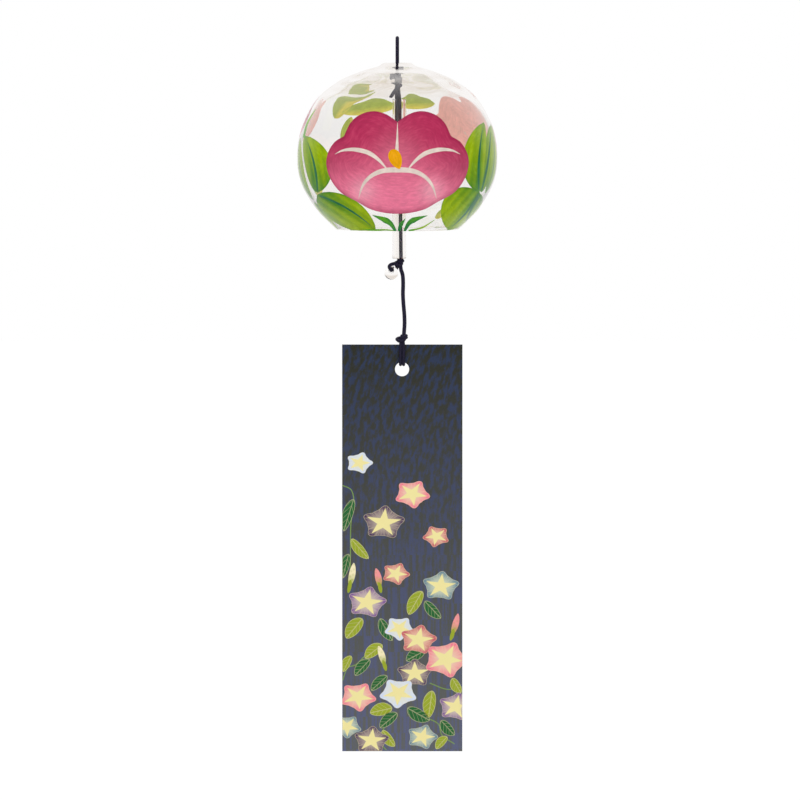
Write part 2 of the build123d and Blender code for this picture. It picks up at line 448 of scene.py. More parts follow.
def crown_painted_fold_shade(start):
    """The wall's colour: clear below, with grey-beige streaks round the crown, painted shade added to the
    light that its thick folds really bend.
    """
    place = start.node("UVMap", {"uv_map": "design"})
    around, along = place.part("X") * (2 * pi), place.part("Y")
    streak_place = start.node("CombineXYZ", None, {
        "X": around.maths("SINE"), "Y": around.maths("COSINE"), "Z": along * painted_fold_shade_fineness})
    streaks = start.node("TexNoise", None, {"Vector": streak_place, "Scale": 1.3, "Detail": 3.0})
    from_hole = (along - crown_on_map).maths("ABSOLUTE")
    crown = start.node("Clamp", None, {"Value": (painted_fold_shade_reach - from_hole) * (1 / painted_fold_shade_soft)})
    share = crown * start.node("Clamp", None, {"Value": (streaks - 0.36) * 3.6})
    stops = [(0.0, opaque(clear_tint)), (1.0, opaque(painted_fold_shade_tint))]
    return start.node("ValToRGB", {"stops": stops}, {"Fac": share})


def glass_material(name, tint, is_bell):
    """Clear glass that lets the lamps through. What the bell's thin wall mirrors leaves it straight."""
    material, start = new_material(name)
    shade = start.node("LightPath", output="Is Shadow Ray")
    # The bell's glass takes the crown's painted fold shade as its colour.
    colour = crown_painted_fold_shade(start) if is_bell else opaque(tint)
    glass = start.node("BsdfPrincipled", None, {
        "Base Color": colour, "Roughness": 0.0, "IOR": 1.5, "Specular IOR Level": 0.2,
        "Transmission Weight": 1.0})
    clear = start.node("BsdfTransparent", None, {"Color": opaque(tint)})
    if is_bell:
        mirrored_once = start.node("LightPath", output="Is Reflection Ray")
        straight = start.node("BsdfTransparent")
        glass = start.node("MixShader", None, {0: mirrored_once, 1: glass, 2: straight})
    start.node("MixShader", None, {0: shade, 1: glass, 2: clear}).show()
    return material


def turned(profile, angles):
    """Rings of points: a profile of radius and height turned about the Z axis."""
    circle = np.stack([np.sin(angles), -np.cos(angles), np.zeros(len(angles))], 1)
    return np.array([radius * circle + [0, 0, height] for radius, height in profile])


bell_glass = glass_material("blown_glass", clear_tint, is_bell=True)
angles = full_circle(bell_columns)
ripple = sum(np.sin(k * angles + k) for k in (31, 47, 83)) * rim_roughness / 3
near_rim = np.clip(1 - outside[:, 1] / rim_reach, 0, 1)
wall_outside = turned([(radius, rim_z + height) for radius, height in outside], angles)
wall_outside[..., 2] += near_rim[:, None] * ripple
nib_profile = [(7.0, 1.0), (6.1, 0.35), (crown_flat_r, 0.0), (cord_hole_r + 0.5, 0.0),
               (cord_hole_r + 0.1, 0.15), (cord_hole_r, 0.6), (cord_hole_r, 1.6)]
nib = turned([(radius, crown_z - depth) for radius, depth in nib_profile], angles)
kept = [(radius, height) for radius, height in inside[::-1] if radius > cord_hole_r + 0.5]
wall_inside = np.array([wall_place(angles, np.full(bell_columns, height), 0) for radius, height in kept])
wall_inside[..., 2] += np.clip(1 - np.array(kept)[:, 1] / rim_reach, 0, 1)[:, None] * ripple
bell_rings = np.concatenate([wall_outside, nib, wall_inside])
bell = grid_piece("bell_glass_wall", bell_rings, bell_glass, uv_size=(1, 1), end_to_end=True)
bell.data.set_sharp_from_angle(angle=radians(glass_crease))
fitted(bell, "bell", "glass_bell")

# Painting inside the bell
# Enamel brushed by hand onto the inner wall, so the first strokes laid are the ones that show outside.
# A morning glory fills the front, with its white star of veins, leaves at both sides and grass below.
coat_t = 0.025
coat_inner = 0.03
coat_crease = 60
map_unit = 100.0
lowest_paint = 0.4
leaf_points = 29
swell_peak = 0.415
petal_top = (180, 46, 88)
petal_low = (236, 122, 154)
petal_rim = (146, 24, 68)
petal_glow = (245, 182, 196)
petal_back = (255, 196, 190)
vein_white = (224, 209, 198)
stamen_gold = (228, 160, 0)
leaf_bright = (154, 182, 0)
leaf_deep = (70, 134, 20)
leaf_vein = (34, 110, 68)
leaf_back = (184, 208, 92)
leaf_back_low = (238, 234, 108)
blade_lime = (178, 204, 40)
blade_green = (92, 168, 30)
blade_deep = (34, 128, 60)
upper_petal = [(0.0, 42.3), (4.4, 45.2), (9.2, 46.4), (14.2, 45.2), (18.2, 42.0), (20.9, 36.6)]
side_petal = [(20.9, 36.6), (24.6, 34.2), (27.2, 29.8), (27.7, 25.0),
              (26.0, 19.6), (22.0, 14.6), (15.6, 11.0)]
lower_petal = [(15.6, 11.0), (10.6, 8.2), (5.2, 6.8), (0.0, 6.4),
               (-5.2, 6.8), (-10.6, 8.2), (-15.6, 11.0)]
side_vein = [(24.4, 29.6), (21.2, 31.1), (16.6, 31.5), (11.4, 30.3), (7.4, 27.6), (3.6, 23.4)]
lower_vein = [(15.2, 12.4), (13.6, 17.4), (10.6, 21.0), (6.0, 23.2), (0.0, 23.7)]
upper_vein = [(0.0, 42.0), (-0.1, 36.0), (-0.3, 29.6)]
flower_eye = np.array([0.0, 26.0])


def inside_of(points, outline):
    """Which of the points lie inside a closed outline."""
    x, y = points[:, 0:1], points[:, 1:2]
    ahead = np.roll(outline, -1, axis=0)
    crosses = (outline[:, 1] > y) != (ahead[:, 1] > y)
    level = np.where(ahead[:, 1] == outline[:, 1], 1e-12, ahead[:, 1] - outline[:, 1])
    at = outline[:, 0] + (y - outline[:, 1]) / level * (ahead[:, 0] - outline[:, 0])
    return (crosses & (x < at)).sum(1) % 2 == 1


def edge_distance(points, outline):
    """How far each point lies from an outline."""
    ahead = np.roll(outline, -1, axis=0)
    nearest = np.full(len(points), 1e9)
    for start, way in zip(outline, ahead - outline):
        share = np.clip(((points - start) @ way) / max(way @ way, 1e-12), 0, 1)
        nearest = np.minimum(nearest, np.linalg.norm(points - start - share[:, None] * way, axis=1))
    return nearest


def cut_shape(outline, step, hole=None):
    """A flat shape as points and triangles, with a point about every step inside it."""
    low, high = outline.min(0), outline.max(0)
    across = np.arange(low[0] + step / 2, high[0], step)
    up = np.arange(low[1] + step / 2, high[1], step * 0.87)
    grid = [(x + step / 2 * (row % 2), y) for row, y in enumerate(up) for x in across]
    grid = np.array(grid).reshape(-1, 2)
    loops = [outline] if hole is None else [outline, hole]
    grid = grid[inside_of(grid, outline)]
    for loop in loops:
        grid = grid[edge_distance(grid, loop) > step * 0.4]
    if hole is not None:
        grid = grid[~inside_of(grid, hole)]
    edges, first = [], 0
    for loop in loops:
        edges += [(first + k, first + (k + 1) % len(loop)) for k in range(len(loop))]
        first += len(loop)
    made = delaunay_2d_cdt([Vector(p) for p in np.vstack([*loops, grid])], edges, [], 0, 1e-7)
    places = np.array([tuple(p) for p in made[0]])
    triangles = np.array([face for face in made[2] if len(face) == 3])
    middles = places[triangles].mean(1)
    keep = inside_of(middles, outline)
    if hole is not None:
        keep &= ~inside_of(middles, hole)
    return places, triangles[keep]


def slab(points, triangles):
    """Both skins of a thin slab, then the wall round it, and each corner's place on the design map."""
    count = len(points)
    faces, corners, rim = [], [], set()
    for a, b, c in triangles.tolist():
        faces += [(a, b, c), (count + c, count + b, count + a)]
        corners += [a, b, c, c, b, a]
        for start, end in ((a, b), (b, c), (c, a)):
            if (end, start) in rim:
                rim.remove((end, start))
            else:
                rim.add((start, end))
    for a, b in sorted(rim):
        faces.append((b, a, count + a, count + b))
        corners += [b, a, a, b]
    return faces, points[corners] / map_unit


def coats(name, shapes, place, materials):
    """Thin coats, each with an upper and a lower skin and a wall round its edge.

    A shape is its outline, its two depths, its point spacing, and a function from its points and
    their distance from the edge to the colours of both skins and the places of its own pattern.
    """
    places, faces, slots, uvs, tints, edges, patterns = [], [], [], [], [], [], []
    first = 0
    for outline, depths, step, look in shapes:
        outline = np.array(outline, float)
        points, triangles = cut_shape(outline, step)
        distance = edge_distance(points, outline)
        upper, lower, own = look(points, distance)
        places += [place(points, depth) for depth in depths]
        tints += [upper, lower]
        edges += [distance, distance]
        patterns += [own, own]
        slab_faces, slab_uvs = slab(points, triangles)
        faces += [[first + corner for corner in face] for face in slab_faces]
        slots += [0, 1] * len(triangles) + [1] * (len(slab_faces) - 2 * len(triangles))
        uvs.append(slab_uvs)
        first += 2 * len(points)
    piece = new_piece(name, np.vstack(places), faces, np.vstack(uvs), materials)
    mesh = piece.data
    mesh.polygons.foreach_set("material_index", slots)
    colours = np.vstack(tints)
    colours = np.hstack([colours, np.ones((len(colours), 1))])
    for attribute, kind, field, values in (("tint", "FLOAT_COLOR", "color", colours),
                                           ("edge", "FLOAT", "value", np.concatenate(edges)),
                                           ("own", "FLOAT_VECTOR", "vector", np.vstack(patterns))):
        mesh.attributes.new(attribute, kind, "POINT").data.foreach_set(field, values.ravel())
    mesh.set_sharp_from_angle(angle=radians(coat_crease))
    return piece


def enamel_material(name, streak, gloss):
    """Brushed enamel: its colour is streaked along the stroke, which follows the shape's edge."""
    material, start = new_material(name)
    tint = start.node("Attribute", {"attribute_name": "tint"}, output="Color")
    edge = start.node("Attribute", {"attribute_name": "edge"}, output="Fac")
    place = start.node("UVMap", {"uv_map": "design"})
    stroke = start.node("CombineXYZ", None, {
        "X": edge * 1.4, "Y": place.part("X") * 34.0, "Z": place.part("Y") * 34.0})
    bristles = start.node("TexNoise", None, {
        "Vector": stroke, "Scale": 1.0, "Detail": 3.0, "Roughness": 0.55})
    blotch = start.node("TexNoise", None, {"Vector": place, "Scale": 22.0, "Detail": 2.0})
    shade = (bristles - 0.5) * streak + (blotch - 0.5) * (streak * 0.6)
    thin = shade.maths("MAXIMUM", 0.0) * 0.12
    gain = start.node("VectorMath", {"operation": "SCALE"}, {0: tint, "Scale": shade + 1.0})
    colour = gain.mixed(thin, (0.9, 0.85, 0.8, 1.0))
    bump = start.node("Bump", None, {"Height": bristles, "Strength": 0.3, "Distance": 0.00005})
    start.node("BsdfPrincipled", None, {
        "Base Color": colour, "Roughness": 0.45, "Specular IOR Level": gloss, "Normal": bump,
    }).show()
    return material


enamel = [enamel_material("enamel_on_glass", streak=0.52, gloss=0.0),
          enamel_material("enamel_dry_side", streak=0.5, gloss=0.5)]


def spread_out(points):
    """Points of the front view laid on the inner wall, as places on the wall unrolled flat."""
    x, height = np.array(points, float).T
    radius = np.interp(height, inside[:, 1], inside[:, 0])
    angle = np.arcsin(np.clip(x / radius, -0.999, 0.999))
    return np.stack([angle * bell_r, height], 1)


def seen_flat(points):
    """Places on the unrolled wall, as points of the front view."""
    radius = np.interp(points[:, 1], inside[:, 1], inside[:, 0])
    return np.stack([radius * np.sin(points[:, 0] / bell_r), points[:, 1]], 1)


def on_wall(points, depth):
    """Points of the unrolled wall, this far inside it."""
    return wall_place(points[:, 0] / bell_r, points[:, 1], depth)


def blended(first, second, share):
    """Two sRGB colours mixed by a share for each point, as linear colours."""
    share = np.clip(share, 0, 1)[:, None]
    return linear(first) * (1 - share) + linear(second) * share


def spot(points, x, height, size):
    """A soft round spot of strength 1 at its middle."""
    return np.exp(-((points[:, 0] - x) ** 2 + (points[:, 1] - height) ** 2) / size**2)


def mirrored(points):
    return [(-x, y) for x, y in reversed(points)]


def petals(middle, scale, width):
    """The flower's outline, lobe by lobe, so that it keeps a notch between two lobes."""
    spans = [upper_petal, side_petal, lower_petal, mirrored(side_petal), mirrored(upper_petal)]
    line = np.vstack([through(span, 0.5)[:-1] for span in spans])
    return (line - flower_eye) * [scale * width, scale] + middle


def petal_look(middle, scale, width, seen):
    """Magenta above, pink below, a darker rim and two pale glows beside the lower petal."""
    def look(points, distance):
        view = seen_flat(points) if seen else points
        place = (view - middle) / [scale * width, scale] + flower_eye
        up = np.clip((place[:, 1] - 12) / 26, 0, 1)
        base = blended(petal_low, petal_top, (up * up * (3 - 2 * up)) ** 0.8)
        dark = np.clip(1 - distance / (2.2 * scale), 0, 1)[:, None] * 0.55
        lobes = spot(place, 24.5, 25.0, 8.0) * 0.45 + spot(place, -25.0, 27.0, 6.5) * 0.25
        dark = np.maximum(dark, lobes[:, None])
        base = base * (1 - dark) + linear(petal_rim) * dark
        glow = sum(spot(place, x, 15.5, 4.6) for x in (-13.4, 13.4)) * 0.55
        glow = glow + spot(place, 0, 30, 9.0) * 0.16
        base = base * (1 - glow[:, None]) + linear(petal_glow) * glow[:, None]
        return base, np.tile(linear(petal_back), (len(points), 1)), np.zeros((len(points), 3))
    return look


def leaf_lines(base, tip, bend, left, right):
    """A leaf's outline and its midrib. The midrib bends aside, and each side swells from it."""
    base, tip = np.array(base, float), np.array(tip, float)
    way = tip - base
    length = np.linalg.norm(way)
    across = np.array([-way[1], way[0]]) / length
    share = np.linspace(0, 1, leaf_points)[:, None]
    middle = base + way * share + across * bend * 4 * share * (1 - share)
    swell = share**0.6 * (1 - share) ** 0.68 / swell_peak
    sides = [middle + across * left * swell, middle - across * right * swell]
    return np.vstack([sides[0], sides[1][-2:0:-1]]), middle


def from_base(points, base, tip):
    """Each point's share of the way from the base to the tip, and how far aside it lies."""
    way = np.array(tip) - np.array(base)
    length = np.linalg.norm(way)
    return (points - base) @ way / length**2, (points - base) @ [-way[1], way[0]] / length


def leaf_look(base, tip, seen, bright=leaf_bright, deep=leaf_deep):
    """Lime at the outer half of the leaf, and green along its foot and its midrib."""
    def look(points, distance):
        along, aside = from_base(seen_flat(points) if seen else points, base, tip)
        share = 0.75 * np.clip(1 - along * 1.5, 0, 1) + 0.4 * np.exp(-((aside - 0.8) / 1.5) ** 2)
        share = share + 0.35 * np.clip(1 - distance / 0.8, 0, 1) + 0.2 * np.sin(aside * 2.4 + along * 2)
        upper = blended(bright, deep, share)
        lower = blended(leaf_back, leaf_back_low, 0.4 - aside * np.sign(tip[0] - base[0]) / 2.5)
        return upper, lower, np.zeros((len(points), 3))
    return look


def plain_look(upper, lower):
    """One colour above and one below, without a pattern."""
    def look(points, distance):
        count = len(points)
        return np.tile(linear(upper), (count, 1)), np.tile(linear(lower), (count, 1)), np.zeros((count, 3))
    return look


def ribbon(line, widths, step=0.4):
    """The outline of a stroke along a smooth line, with its widths from start to end."""
    line = through(line, step)
    way = way_of(line)
    across = np.stack([-way[:, 1], way[:, 0]], 1)
    share = np.linspace(0, 1, len(line))
    half = np.interp(share, np.linspace(0, 1, len(widths)), widths)[:, None] / 2
    return np.vstack([line + across * half, (line - across * half)[::-1]])


def painted(name, strokes, layer, step=0.7):
    """Strokes on the inner wall: outlines with their looks. The first layers are next to the glass."""
    depths = (-coat_t * (5 - layer), coat_inner)
    shapes = [(outline, depths, step, look) for outline, look in strokes]
    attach(coats(name, shapes, on_wall, enamel), "bell")


def painted_leaves(name, leaves, seen):
    """Leaves with their midribs: base, tip, bend and the swell of each side."""
    blades, ribs = [], []
    for base, tip, bend, left, right in leaves:
        outline, middle = leaf_lines(base, tip, bend, left, right)
        rib = ribbon(middle[1:-2:3], [0.5, 0.9, 0.7, 0.15])
        outline[:, 1] = np.maximum(outline[:, 1], lowest_paint)
        rib[:, 1] = np.maximum(rib[:, 1], lowest_paint)
        if seen:
            outline, rib = spread_out(outline), spread_out(rib)
        blades.append((outline, leaf_look(base, tip, seen)))
        ribs.append((rib, plain_look(leaf_vein, leaf_back)))
    for number, (blade, rib) in enumerate(zip(blades, ribs)):
        lift = number % 2 * 0.4
        painted(f"{name}_{number}_rib", [rib], layer=1 + lift, step=0.5)
        painted(f"{name}_{number}", [blade], layer=3 + lift)


stamen_turns = np.linspace(0, 2 * pi, 40, endpoint=False)
stamen_half_w = 2.9
stamen_half_h = 4.1
lean = 0.38
stamen = np.stack([stamen_half_w * np.sin(stamen_turns) * np.sin(stamen_turns / 2) ** 0.5,
                   -stamen_half_h * np.cos(stamen_turns)], 1)
stamen = stamen @ np.array([[cos(lean), sin(lean)], [-sin(lean), cos(lean)]]) + (-0.7, 27.8)


def painted_flower(name, middle, scale, width, seen):
    """A flower with its stamen and its pale star of veins, brushed first, so only seen from outside."""
    middle = np.array(middle)
    side_widths = [0.1, 1.1, 1.7, 1.7, 1.1, 0.2]
    veins = [(side_vein, side_widths), (mirrored(side_vein)[::-1], side_widths),
             (lower_vein + mirrored(lower_vein)[1:], [0.1, 1.2, 1.8, 2.1, 1.8, 1.2, 0.1]),
             (upper_vein, [0.15, 0.8, 1.6])]
    strokes = [ribbon((line - flower_eye) * [scale * width, scale] + middle, np.array(widths) * scale)
               for line, widths in veins]
    strokes.append((stamen - flower_eye) * [scale * width, scale] + middle)
    outline = petals(middle, scale, width)
    if seen:
        strokes = [spread_out(stroke) for stroke in strokes]
        outline = spread_out(outline)
    gold = plain_look(stamen_gold, stamen_gold)
    pale = plain_look(vein_white, vein_white)
    painted(f"{name}_stamen", [(strokes.pop(), gold)], layer=0, step=0.5)
    painted(f"{name}_veins", [(stroke, pale) for stroke in strokes], layer=1, step=0.5)
    painted(name, [(outline, petal_look(middle, scale, width, seen))], layer=2)


painted_flower("flower_front", (0.1, 27.1), scale=1.0, width=1.0, seen=True)
left_leaves = [((-31.0, 15.4), (-35.8, 37.4), -1.0, 3.6, 6.8),
               ((-31.2, 14.6), (-8.4, 0.9), 1.6, 4.4, 7.4)]
painted_leaves("leaf_left", left_leaves, seen=True)
right_leaves = [((31.8, 15.6), (33.6, 42.6), 0.8, 6.4, 2.6), ((32.6, 15.4), (36.2, 41.6), -1.0, 2.2, 2.2),
                ((32.0, 15.8), (19.6, 0.8), 1.2, 3.0, 10.4), ((32.6, 14.8), (25.6, 0.6), -0.8, 3.0, 3.4)]
painted_leaves("leaf_right", right_leaves, seen=True)
grass = [([(-0.6, 0.5), (-3.4, 4.2), (-9.8, 7.0)], [0.9, 2.4, 0.1]),
         ([(0.6, 0.5), (1.4, 3.0), (3.2, 5.6)], [0.9, 1.6, 0.1]),
         ([(2.8, 0.5), (5.4, 4.4), (11.8, 6.8)], [0.9, 2.2, 0.1]),
         ([(4.4, 0.7), (9.6, 1.8), (14.6, 5.0)], [0.5, 0.7, 0.1]),
         ([(-13.4, 1.3), (-9.6, 0.9), (-5.0, 1.0), (-1.4, 0.8)], [0.2, 0.6, 0.5, 0.2]),
         ([(-36.4, 36.6), (-35.0, 42.0), (-31.8, 47.6)], [0.7, 0.7, 0.2])]
blades = []
for line, widths in grass:
    blade = ribbon(line, widths)
    blade[:, 1] = np.maximum(blade[:, 1], lowest_paint)
    is_thin = max(widths) < 1
    colours = (blade_lime, blade_green) if is_thin else (blade_green, blade_deep)
    blades.append((spread_out(blade), leaf_look(line[0], line[-1], True, *colours)))
painted("grass", blades, layer=3, step=0.5)
painted_flower("flower_back_right", (85.5, 36.4), scale=0.9, width=1.05, seen=False)
painted_flower("flower_side_left", (-67.0, 43.5), scale=0.44, width=1.0, seen=False)
back_leaves = [((126.6, 48.6), (154.5, 46.4), 1.4, 3.6, 3.8),
               ((125.0, 49.2), (105.6, 50.4), -0.8, 3.2, 6.2),
               ((158.0, 44.0), (152.0, 60.0), -1.0, 6.5, 6.5),
               ((148.0, 44.5), (149.6, 31.6), 0.5, 2.8, 3.0),
               ((126.2, 47.6), (121.6, 40.4), 0.3, 1.7, 1.8)]
painted_leaves("leaf_back", back_leaves, seen=False)
side_leaves = [((-74.0, 12.6), (-92.0, 27.0), 0.8, 4.0, 4.2), ((78.0, 14.0), (101.0, 3.4), 0.8, 4.2, 4.0),
               ((-52.0, 12.5), (-57.0, 36.5), 0.6, 5.0, 5.4), ((-51.0, 11.5), (-54.0, 0.8), 0.6, 4.4, 5.0),
               ((51.5, 15.0), (56.0, 40.0), 0.6, 5.0, 5.4), ((51.0, 13.0), (54.5, 0.8), 0.6, 4.4, 5.0)]
painted_leaves("leaf_side", side_leaves, seen=False)

# Clapper cord and tube
# Below the stopper knot the cord is pulled straight by what hangs on it. It runs through a glass tube
# of clear drawn glass with fire-polished ends, and the short end of its knot is tucked in beside it.
clapper_route = [(0.1, 0.0, -14.2), (0.5, 0.1, -19.0), (0.92, 0.2, -24.0), (0.95, 0.2, -34.0),
                 (1.1, 0.1, -55.0), (1.4, 0.0, -78.0), (1.5, 0.0, -88.8)]
clapper_cord_d = 1.5
short_end_route = [(-0.2, 0.0, -15.0), (-0.42, -0.1, -19.5), (-0.42, -0.2, -24.0),
                   (-0.42, -0.2, -33.0), (-0.4, -0.2, -37.5)]
short_end_d = 1.25
tube_tint = (254, 252, 250)
tube_wall = 0.9
tube_rounding = 0.3
tube_columns = 64
clear_glass = glass_material("drawn_glass", tube_tint, is_bell=False)
clapper_line = smooth_line(clapper_route)
clapper_cord = cord_tube("clapper_cord_line", clapper_line, clapper_cord_d)
fitted(clapper_cord, "clapper", "clapper_cord")
fitted(cord_tube("clapper_cord_short_end", smooth_line(short_end_route), short_end_d), "clapper")
tube_low, tube_high = box_of("clapper_tube")
tube_r = (tube_high[0] - tube_low[0]) / 2
tube_middle = (tube_low + tube_high) / 2
quarter = np.linspace(0, pi / 2, 5)
bore_r = tube_r - tube_wall
outer_side = [(tube_r - tube_rounding * (1 - sin(turn)), tube_low[2] + tube_rounding * (1 - cos(turn)))
              for turn in quarter]
outer_top = [(r, tube_low[2] + tube_high[2] - z) for r, z in outer_side[::-1]]
inner_side = [(bore_r + tube_rounding * (1 - sin(turn)), z) for turn, (r, z) in zip(quarter, outer_side)]
inner_top = [(r, tube_low[2] + tube_high[2] - z) for r, z in inner_side[::-1]]
long_run = np.linspace(tube_low[2] + 2, tube_high[2] - 2, 40)
profile = outer_side + [(tube_r, z) for z in long_run] + outer_top
profile += inner_top[::-1] + [(bore_r, z) for z in long_run[::-1]] + inner_side[::-1]
tube_rings = turned(profile, full_circle(tube_columns)) + [tube_middle[0], tube_middle[1], 0]
tube = grid_piece("clapper_glass_tube", tube_rings, clear_glass, uv_size=(1, 1), end_to_end=True)
tube.data.set_sharp_from_angle(angle=radians(glass_crease))
fitted(tube, "tube", "clapper_tube")

# Lower knot, bead loop and bead
# One overhand knot under the tube holds it up. A small loop of the same cord comes out of its side and
# carries a bead of clear pressed glass that hangs off-centre on its bore.
lower_knot = pivot["strip_cord_swing"]
bead_loop_route = [(-0.6, -0.8, -0.3), (-2.5, -2.3, -0.2), (-4.3, -2.9, -1.2), (-3.15, -2.9, -3.0),
                   (-3.15, 4.5, -3.0), (-0.9, 4.5, -3.0), (-0.8, 1.2, -0.6)]
lower_apart = 0.62
lower_strand_d = 1.3
bead_r = 2.75
bead_bore_r = 0.95
bead_flare = 0.18
bead_rise = 1.1
bead_columns = 48
bead_crease = 60
lower_knot_line = tied_knot(lower_knot, scale=(0.66, 0.5, 0.56), turn=0.9, reach=2.0)
doubled("lower_knot_strand", lower_knot_line, lower_apart, lower_strand_d, "clapper", "lower_knot")
bead_loop_line = smooth_line([lower_knot + point for point in bead_loop_route])
fitted(cord_tube("bead_loop_line", bead_loop_line, cord_d), "clapper", "bead_loop")
bead_angles = full_circle(bead_columns)
mouth_r = bead_bore_r + bead_flare
down = -np.cos(bead_angles)
mouth_y = np.sqrt(bead_r**2 - (mouth_r * np.sin(bead_angles)) ** 2 - (bead_rise + mouth_r * down) ** 2)
rings = []
for turn in np.linspace(pi / 2, -pi / 2, 25):
    y = mouth_y * sin(turn)
    reach = -bead_rise * down + np.sqrt((bead_rise * down) ** 2 - bead_rise**2 + bead_r**2 - y**2)
    rings.append(np.stack([reach * np.sin(bead_angles), y, reach * down], 1))
for share in np.linspace(-1, 1, 13)[1:-1]:
    y = mouth_y * share
    reach = bead_bore_r + bead_flare * abs(share) ** 8 * np.ones(bead_columns)
    rings.append(np.stack([reach * np.sin(bead_angles), y, reach * down], 1))
rings = np.array(rings) + pivot["bead_swing"]
bead = grid_piece("bead_glass", rings, clear_glass, uv_size=(1, 1), end_to_end=True)
bead.data.set_sharp_from_angle(angle=radians(bead_crease))
fitted(bead, "bead", "glass_bead")

# Strip cord, knot and loop
# The cord hangs from the lower knot in a slight wave. A flat knot on the strip's top edge ties it to a
# doubled strand that goes down the front, through the strip's hole and up the back.
strip_cord_route = [(0.5, 0.0, -0.4), (0.55, 0, -2.55), (1.45, 0, -4.6), (1.63, -0.2, -8.4),
                    (1.45, 0.1, -12.4), (1.7, 0.35, -16.6), (2.1, 0.1, -20.8), (2.2, -0.2, -24.8),
                    (1.9, 0, -28.4), (1.8, 0, -30.2)]
strip_cord_d = 1.6
strip_knot = pivot["strip_twist"]
strip_pivot = pivot["strip_swing"]
knot_strand_d = 1.25
strand_d = 1.3
strand_off = 0.625
strand_away = 1.1
strip_cord_points = [lower_knot + point for point in strip_cord_route]
strip_cord_line = smooth_line(strip_cord_points)
strip_cord = cord_tube("strip_cord_line", strip_cord_line, strip_cord_d)
fitted(strip_cord, "strip_line", "strip_cord")
strip_knot_line = tied_knot(strip_knot + [0, 0, 0.1], scale=(0.76, 0.6, 0.48), turn=0.6, reach=1.8)
doubled("strip_knot_strand", strip_knot_line, strand_apart, knot_strand_d, "strip_hanger", "strip_knot")
for side in (-1, 1):
    x = strip_knot[0] + side * strand_off
    foot = strip_pivot[2]
    front = [(x - side * 0.2, -0.8, strip_knot[2]), (x, -strand_away, foot + 7.0),
             (x, -strand_away, foot + 2.4), (x, -strand_away, foot)]
    back = [(x, -y, z) for x, y, z in reversed(front)]
    strand = cord_tube(f"strip_loop_strand_{side + 2}", smooth_line(front + back), strand_d)
    fitted(strand, "strip_hanger", "strip_loop")

# Paper strip
# Thin card, cut square, with one punched hole. It is printed all over in a woven pattern of short
# dashes, blue on charcoal at its head and violet-blue on grey at its foot, and curls slightly forward.
strip_low, strip_high = box_of("paper_strip")
strip_w = strip_high[0] - strip_low[0]
strip_middle_x = (strip_high[0] + strip_low[0]) / 2
strip_top = strip_high[2]
strip_h = 163.4
strip_t = 0.4
hole_drop = 9.9
hole_r = 2.84
curl_start = 14.9
curl_depth = 2.0
curl_r = (strip_h - curl_start) ** 2 / (2 * curl_depth)
card_step = 2.0
card_crease = 40
row_h = 6.5
head_dark = (46, 47, 38)
head_blue = (42, 54, 81)
foot_grey = (95, 97, 96)
foot_blue = (92, 97, 126)


def on_strip(points, out):
    """A point of the flat strip, across and down from the middle of its head, this far off its card."""
    across, down = points.T
    turn = np.maximum(down - curl_start, 0) / curl_r
    z = strip_top - np.minimum(down, curl_start) - curl_r * np.sin(turn) + out * np.sin(turn)
    y = -curl_r * (1 - np.cos(turn)) - out * np.cos(turn)
    return np.stack([strip_middle_x + across, y, z], -1)


def card_material():
    """Matt card, printed in rows of dashes that lean at the head and stand straight at the foot."""
    material, start = new_material("printed_card")
    place = start.node("UVMap", {"uv_map": "design"})
    across, down = place.part("X") * map_unit, place.part("Y") * map_unit
    foot = (down * (1 / strip_h)).maths("MINIMUM", 1.0)
    leaning = foot.maths("MINIMUM", 0.5)
    slanted = across + leaning * (1.0 - leaning) * (0.3 * strip_h)
    row = (down * (1 / row_h)).maths("FLOOR")

    def noise(x, y, detail):
        spread = start.node("CombineXYZ", None, {"X": x, "Y": y, "Z": 0.0})
        return start.node("TexNoise", None, {"Vector": spread, "Scale": 1.0, "Detail": detail})

    bars = noise(slanted * 0.8 + row * 5.3, row * 7.3, 1.0)
    threads = noise(slanted * 0.64, down * 0.25, 2.0)
    grain = noise(across * 2.4, down * 0.9, 3.0)
    share = start.node("Clamp", None, {"Value": foot * 2.0 - 0.4})
    weave = threads + (bars - threads) * share
    ink = (weave - 0.5) * 2.2 + (grain - 0.5) * 0.6 + 0.5
    head_stops = [(0.35, opaque(head_dark)), (0.75, opaque(head_blue))]
    foot_stops = [(0.35, opaque(foot_grey)), (0.65, opaque(foot_blue))]
    head_ink = start.node("ValToRGB", {"stops": head_stops}, {"Fac": ink})
    foot_ink = start.node("ValToRGB", {"stops": foot_stops}, {"Fac": ink})
    colour = head_ink.mixed(foot, foot_ink)
    bump = start.node("Bump", None, {"Height": grain, "Strength": 0.2, "Distance": 0.00004})
    start.node("BsdfPrincipled", None, {
        "Base Color": colour, "Roughness": 0.62, "Specular IOR Level": 0.25, "Normal": bump}).show()
    return material


printed_card = card_material()
hole_turns = np.linspace(0, 2 * pi, 64, endpoint=False)
hole = np.stack([strip_knot[0] - strip_middle_x + hole_r * np.cos(hole_turns),
                 hole_drop + hole_r * np.sin(hole_turns)], 1)
half_w = strip_w / 2
corners = np.array([(-half_w, 0), (half_w, 0), (half_w, strip_h), (-half_w, strip_h)], float)
sides = zip(corners, np.roll(corners, -1, axis=0))
card_edge = np.vstack([even_line(np.array(side), card_step)[:-1] for side in sides])
points, triangles = cut_shape(card_edge, card_step, hole)
places = np.vstack([on_strip(points, strip_t / 2), on_strip(points, -strip_t / 2)])
strip = new_piece("paper_strip_card", places, *slab(points, triangles[:, ::-1]), [printed_card])
strip.data.set_sharp_from_angle(angle=radians(card_crease))
fitted(strip, "strip", "paper_strip")

